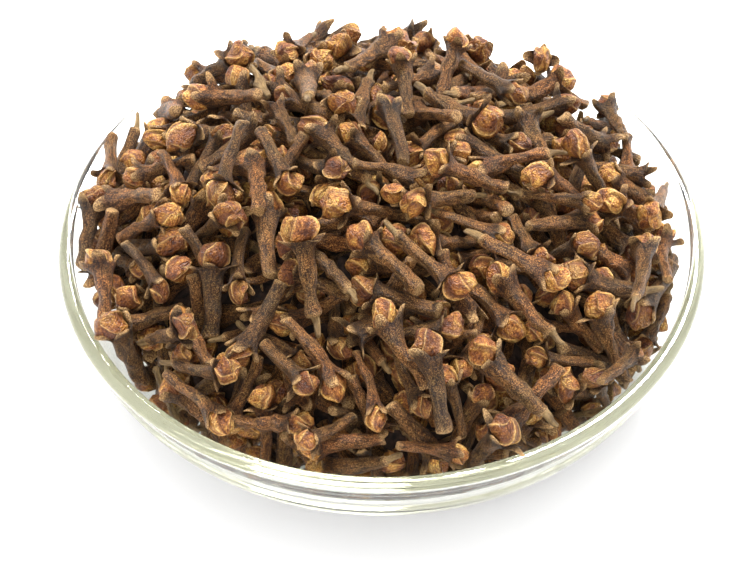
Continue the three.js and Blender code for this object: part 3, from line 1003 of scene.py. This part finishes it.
# %% Fill the heap
clove_pieces = []
for kind, shapes in models.items():
    of_kind = [clove for clove in shown if clove["kind"] == kind]
    choices = chance.integers(len(shapes), size=len(of_kind))
    for i, model in enumerate(shapes):
        its_cloves = [clove for clove, choice in zip(of_kind, choices) if choice == i]
        clove_pieces.append(copy_into_one(model, its_cloves))
triangles = sum(len(face.vertices) - 2 for piece in clove_pieces for face in piece.data.polygons)
print(sum(near_surface(clove, TOP_LAYER) for clove in shown), "on top,", triangles, "triangles in all")

# %% [markdown]
# ## Finishes
#
# A finish is a small graph of nodes. This helper adds one node and sets or links its inputs, so that a
# graph reads from top to bottom like a recipe. Colours are given as they look on a screen, 0 to 255, and
# are turned into the linear values that the renderer works with.

# %% Helpers for finishes
def colour(red, green, blue):
    """A screen colour as linear red, green, blue and alpha."""
    shares = [value / 255 for value in (red, green, blue)]
    return [s / 12.92 if s <= 0.04045 else ((s + 0.055) / 1.055) ** 2.4 for s in shares] + [1]


def node(tree, kind, inputs=None, **settings):
    """Adds a shader node. inputs gives each named or numbered input a value, or an output to take it from."""
    made = tree.nodes.new("ShaderNode" + kind)
    for name, value in settings.items():
        setattr(made, name, value)
    for name, value in (inputs or {}).items():
        if isinstance(value, bpy.types.NodeSocket):
            tree.links.new(value, made.inputs[name])
        else:
            made.inputs[name].default_value = value
    return made


def noise(tree, place, scale, detail=2.0, roughness=0.5, stretch=None):
    """Chance values from 0 to 1. stretch under 1 draws them out along that axis."""
    if stretch:
        place = node(tree, "Mapping", {"Vector": place, "Scale": stretch}).outputs[0]
    made = node(tree, "TexNoise", {"Vector": place, "Scale": scale, "Detail": detail, "Roughness": roughness})
    return made.outputs["Fac"]


def pits(tree, place, scale):
    """The distance to the nearest of many scattered points: 0 on a point, about 0.7 between points."""
    return node(tree, "TexVoronoi", {"Vector": place, "Scale": scale}).outputs["Distance"]


def ramp(tree, value, *stops):
    """Turns a value into a colour by stops of (place, colour)."""
    made = node(tree, "ValToRGB", {"Fac": value})
    elements = made.color_ramp.elements
    for i, (place, shade) in enumerate(stops):
        element = elements[i] if i < 2 else elements.new(place)
        element.position, element.color = place, shade
    return made.outputs["Color"]


def mix(tree, share, a, b, how="MIX"):
    """Mixes two colours."""
    made = node(tree, "Mix", data_type="RGBA", blend_type=how)
    for i, value in ((0, share), (6, a), (7, b)):
        if isinstance(value, bpy.types.NodeSocket):
            tree.links.new(value, made.inputs[i])
        else:
            made.inputs[i].default_value = value
    return made.outputs[2]


def math_node(tree, how, a, b):
    """Works out one value from two."""
    return node(tree, "Math", {0: a, 1: b}, operation=how).outputs[0]


def times(tree, value, share):
    """A value times another."""
    return math_node(tree, "MULTIPLY", value, share)


# %% Helpers for whole finishes
def finish(material, **inputs):
    """An empty graph with a Principled shader wired to the output."""
    material.use_nodes = True
    tree = material.node_tree
    tree.nodes.clear()
    shader = node(tree, "BsdfPrincipled", inputs)
    tree.links.new(shader.outputs[0], node(tree, "OutputMaterial").inputs["Surface"])
    return tree, shader


def noted(tree, name):
    """What a point's note says."""
    made = node(tree, "Attribute", attribute_name=name, attribute_type="GEOMETRY")
    return made.outputs["Vector" if name == "own" else "Fac"]


def paint(tree, shader, shade, height=None, depth=0):
    """Gives the shader its colour, and bumps as deep as depth, in mm, where a height is given."""
    tree.links.new(shade, shader.inputs["Base Color"])
    if height is not None:
        bump = node(tree, "Bump", {"Height": height, "Strength": 1.0, "Distance": depth * MM})
        tree.links.new(bump.outputs[0], shader.inputs["Normal"])


# %% [markdown]
# ### The skin of the stem
#
# Dried clove skin is full of tiny oil glands. It looks dark brown with a fine tan speckle, and it is
# wrinkled along the stem. It could be painted from an image, but a pattern made of nodes never repeats
# and has no seams. A fine noise on the clove's own coordinates, less a pit at each gland, gives the
# speckle and its bumps. A slower noise pulled out along the stem gives the wrinkles, and painted shade
# darkens their furrows. `tone` makes one clove greyer and the next redder, `collar` paints shade on the
# skin under the head, the wear note lets tan through where it is worn, and `stalk` turns it straw brown.

# %% Clove skin
tree, shader = finish(skin, Roughness=0.45)
shader.inputs["Specular IOR Level"].default_value = 0.3
names = ("own", "tone", "wear_and_edge_highlight", "stalk", "collar")
own, tone, wear_and_edge_highlight, stalk, collar = (noted(tree, name) for name in names)
grain = noise(tree, own, 11.5, 2, 0.7, (1, 1, 0.6))
glands = pits(tree, own, 5.0)
wrinkle = noise(tree, own, 1.9, 3, 0.65, (1, 1, 0.3))
patch = noise(tree, own, 0.35, 2)
grit = math_node(tree, "SUBTRACT", grain, times(tree, glands, 0.6))
speckle = ramp(
    tree,
    grit,
    (0.04, colour(70, 48, 33)),
    (0.17, colour(128, 96, 67)),
    (0.33, colour(172, 134, 94)),
    (0.48, colour(248, 214, 160)),
)
family = ramp(
    tree,
    tone,
    (0.0, colour(196, 190, 172)),
    (0.45, colour(242, 231, 204)),
    (1.0, colour(255, 228, 196)),
)
brown = mix(tree, 1.0, speckle, family, "MULTIPLY")
blotch = ramp(tree, patch, (0.35, colour(218, 216, 204)), (0.65, colour(255, 236, 214)))
brown = mix(tree, 1.0, brown, blotch, "MULTIPLY")
# Painted shade: the skin is darker in the wrinkles' furrows, where the bump is low.
furrow_shade = ramp(tree, wrinkle, (0.38, colour(112, 98, 84)), (0.54, colour(255, 255, 255)))
brown = mix(tree, 0.85, brown, furrow_shade, "MULTIPLY")
# Painted shade under the head.
brown = mix(tree, times(tree, collar, 0.8), brown, colour(168, 158, 152), "MULTIPLY")
tan = ramp(tree, grit, (0.08, colour(138, 98, 60)), (0.4, colour(248, 204, 138)))
brown = mix(tree, times(tree, wear_and_edge_highlight, 0.8), brown, tan)
straw = ramp(tree, wrinkle, (0.3, colour(88, 66, 42)), (0.7, colour(176, 146, 98)))
brown = mix(tree, times(tree, stalk, 0.8), brown, straw)
paint(tree, shader, brown, math_node(tree, "ADD", grit, times(tree, wrinkle, 0.9)), 0.45)
print("clove skin:", len(tree.nodes), "nodes")

# %% [markdown]
# ### The petals
#
# The head is lighter than the stem. It is golden tan with red-brown bruises and dark pricks, and painted
# shade darkens its folds. A petal's free edge gets a painted highlight, and the line where it slips under
# the next gets a painted shadow. One colour noise would leave the head a plain ball, so these painted
# highlights and shadows draw each petal, and `golden` makes every other one lighter.

# %% Clove petals
tree, shader = finish(petal, Roughness=0.45)
shader.inputs["Specular IOR Level"].default_value = 0.35
names = ("own", "tone", "wear_and_edge_highlight", "seam_shadow", "golden")
own, tone, wear_and_edge_highlight, seam_shadow, golden = (noted(tree, name) for name in names)
bruise = noise(tree, own, 0.45, 3, 0.6)
bruise = math_node(tree, "ADD", bruise, times(tree, golden, 0.1))
crease = noise(tree, own, 1.9, 3, 0.65, (1, 1, 0.45))
fleck = pits(tree, own, 3.6)
flesh = ramp(
    tree,
    bruise,
    (0.36, colour(146, 94, 64)),
    (0.49, colour(208, 142, 78)),
    (0.61, colour(248, 192, 102)),
    (0.74, colour(255, 220, 136)),
)
# Painted shade: the petal is darker in its folds, where the crease bump is low.
fold_shade = ramp(tree, crease, (0.36, colour(150, 112, 88)), (0.52, colour(255, 255, 255)))
flesh = mix(tree, 0.85, flesh, fold_shade, "MULTIPLY")
prick = ramp(tree, fleck, (0.1, colour(255, 252, 244)), (0.6, colour(150, 124, 102)))
flesh = mix(tree, 0.85, flesh, prick, "MULTIPLY")
family = ramp(
    tree,
    tone,
    (0.0, colour(170, 152, 142)),
    (0.4, colour(224, 214, 204)),
    (1.0, colour(255, 255, 250)),
)
flesh = mix(tree, 1.0, flesh, family, "MULTIPLY")
# Painted shadow: a dark line where each petal slips under the next.
line = math_node(tree, "POWER", seam_shadow, 2.0)
flesh = mix(tree, times(tree, line, 0.8), flesh, colour(92, 54, 32))
# Painted highlight: a pale line along each petal's free edge, where the step catches the light.
edge = times(tree, math_node(tree, "POWER", wear_and_edge_highlight, 2.2), crease)
flesh = mix(tree, times(tree, edge, 0.8), flesh, colour(250, 206, 128))
paint(tree, shader, flesh, math_node(tree, "SUBTRACT", crease, times(tree, fleck, 0.3)), 0.8)
print("clove petals:", len(tree.nodes), "nodes")

# %% [markdown]
# ### The core and the glass
#
# The core is painted shade: a dark brown speckle on near black, rough all over, so that hardly any
# light comes back from deep in the heap.

# %% The core
dark = bpy.data.materials.new("painted_shade_core")
tree, shader = finish(dark, Roughness=0.9)
place = node(tree, "TexCoord").outputs["Object"]
deep = noise(tree, place, 900, 3)
# Painted shade: near black, for the shaded cloves deep in the heap.
gloom = ramp(tree, deep, (0.35, colour(22, 14, 10)), (0.65, colour(62, 42, 30)))
paint(tree, shader, gloom, deep, 0.5)
core.data.materials.append(dark)
print("core:", len(tree.nodes), "nodes")

# %% [markdown]
# The glass is plain pressed glass. Such glass is only clear across a thin wall: along the rim, where
# light runs a long way inside it, it turns a pale grey green. A tint on the surface alone can't do that,
# so the colour sits in the volume. The surface has a very faint waviness of shade, as pressed glass has.

# %% The glass
glass = bpy.data.materials.new("clear_glass")
tree, shader = finish(glass, Roughness=0.0, IOR=1.5)
shader.inputs["Transmission Weight"].default_value = 1.0
place = node(tree, "TexCoord").outputs["Object"]
cord = noise(tree, place, 60, 2, 0.5, (1, 1, 3))
paint(tree, shader, ramp(tree, cord, (0.3, colour(238, 239, 235)), (0.7, colour(244, 245, 241))))
inside = node(tree, "VolumeAbsorption", {"Color": (0.66, 0.66, 0.5, 1), "Density": 15.0})
output = next(made for made in tree.nodes if made.type == "OUTPUT_MATERIAL")
tree.links.new(inside.outputs[0], output.inputs["Volume"])
bowl.data.materials.clear()
bowl.data.materials.append(glass)
print("glass:", len(tree.nodes), "nodes")

# %% [markdown]
# ## Tie the pieces to the part
#
# Every piece rides on the part's one body, and the solids that the pieces stand in for are hidden.

# %% Ride, and hide the solids
for piece in [core, *clove_pieces]:
    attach(piece, "root")
    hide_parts("cloves")
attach(bowl, "root")
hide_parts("bowl")
print(len(clove_pieces) + 2, "pieces ride on the part")

# %% [markdown]
# ## The studio
#
# A wide white floor and a white sky make a bright table shot. A soft key light from above and behind
# puts shadows between the cloves and under the front of the bowl, and a weak fill from the front opens
# them again.

# %% Floor and sky
FLOOR_WIDTH = 12
FLOOR_DROP = 0.0002  # keeps the floor and the bowl's foot from sharing a plane

start(
    bpy.ops.mesh.primitive_grid_add,
    x_subdivisions=2,
    y_subdivisions=2,
    size=FLOOR_WIDTH,
    location=(0, 0, -FLOOR_DROP),
)
floor = leave("floor")
white = bpy.data.materials.new("white_floor")
tree, shader = finish(white, Roughness=0.6)
shader.inputs["Base Color"].default_value = colour(251, 251, 251)
floor.data.materials.append(white)

world = bpy.data.worlds.new("sky")
bpy.context.scene.world = world
world.use_nodes = True
background = world.node_tree.nodes["Background"]
background.inputs["Color"].default_value = (1, 1, 1, 1)
background.inputs["Strength"].default_value = 1.3

# %% Lights
HEAP_MIDDLE = Vector((0, 0, 0.03))


def soft_light(name, place, size, power):
    """A square lamp that faces the bowl."""
    lamp = bpy.data.lights.new(name, "AREA")
    lamp.size = size
    lamp.energy = power
    holder = bpy.data.objects.new(name, lamp)
    bpy.context.scene.collection.objects.link(holder)
    holder.location = place
    holder.rotation_euler = (HEAP_MIDDLE - holder.location).to_track_quat("-Z", "Y").to_euler()


soft_light("key", (0.15, 0.6, 0.8), 0.4, 29)
soft_light("fill", (-0.2, -0.8, 0.6), 0.6, 6)
print("floor, sky and two lights")

# %% [markdown]
# ## The camera
#
# The camera looks down on the bowl at about 46 degrees from a short distance, so the near rim looks a
# little wider than the far one. Its place is worked out from where the middle of the rim falls in the
# frame.

# %% Camera
DISTANCE = 400.0  # mm, to the middle of the rim
ELEVATION = math.radians(45.8)
FOCAL = 2349.0  # in the same units as the frame
FRAME_WIDTH, FRAME_HEIGHT = 750, 578
RIM_MIDDLE = (381.7, 232.8)
SENSOR = 36  # mm
NEAREST, FARTHEST = 0.01, 20
GLASS_BOUNCES = 48

camera = bpy.data.objects.new("camera", bpy.data.cameras.new("camera"))
bpy.context.scene.collection.objects.link(camera)
bpy.context.scene.camera = camera
camera.data.sensor_width = SENSOR
camera.data.lens = SENSOR * FOCAL / FRAME_WIDTH
camera.data.clip_start, camera.data.clip_end = NEAREST, FARTHEST
down = ELEVATION + math.atan((FRAME_HEIGHT / 2 - RIM_MIDDLE[1]) / FOCAL)
aside = (RIM_MIDDLE[0] - FRAME_WIDTH / 2) / FOCAL / math.cos(ELEVATION)
back, up = DISTANCE * math.cos(ELEVATION), BOWL_HEIGHT + DISTANCE * math.sin(ELEVATION)
camera.location = (0, -back * MM, up * MM)
camera.rotation_euler = (math.pi / 2 - down, 0, aside)
bpy.context.scene.view_settings.view_transform = "Standard"

# Light runs along inside a glass wall and turns many times before it comes out.
for limit in ("max_bounces", "transmission_bounces", "glossy_bounces"):
    setattr(bpy.context.scene.cycles, limit, GLASS_BOUNCES)
print("camera", round(camera.data.lens, 1), "mm, tilted down", round(math.degrees(down), 1), "degrees")
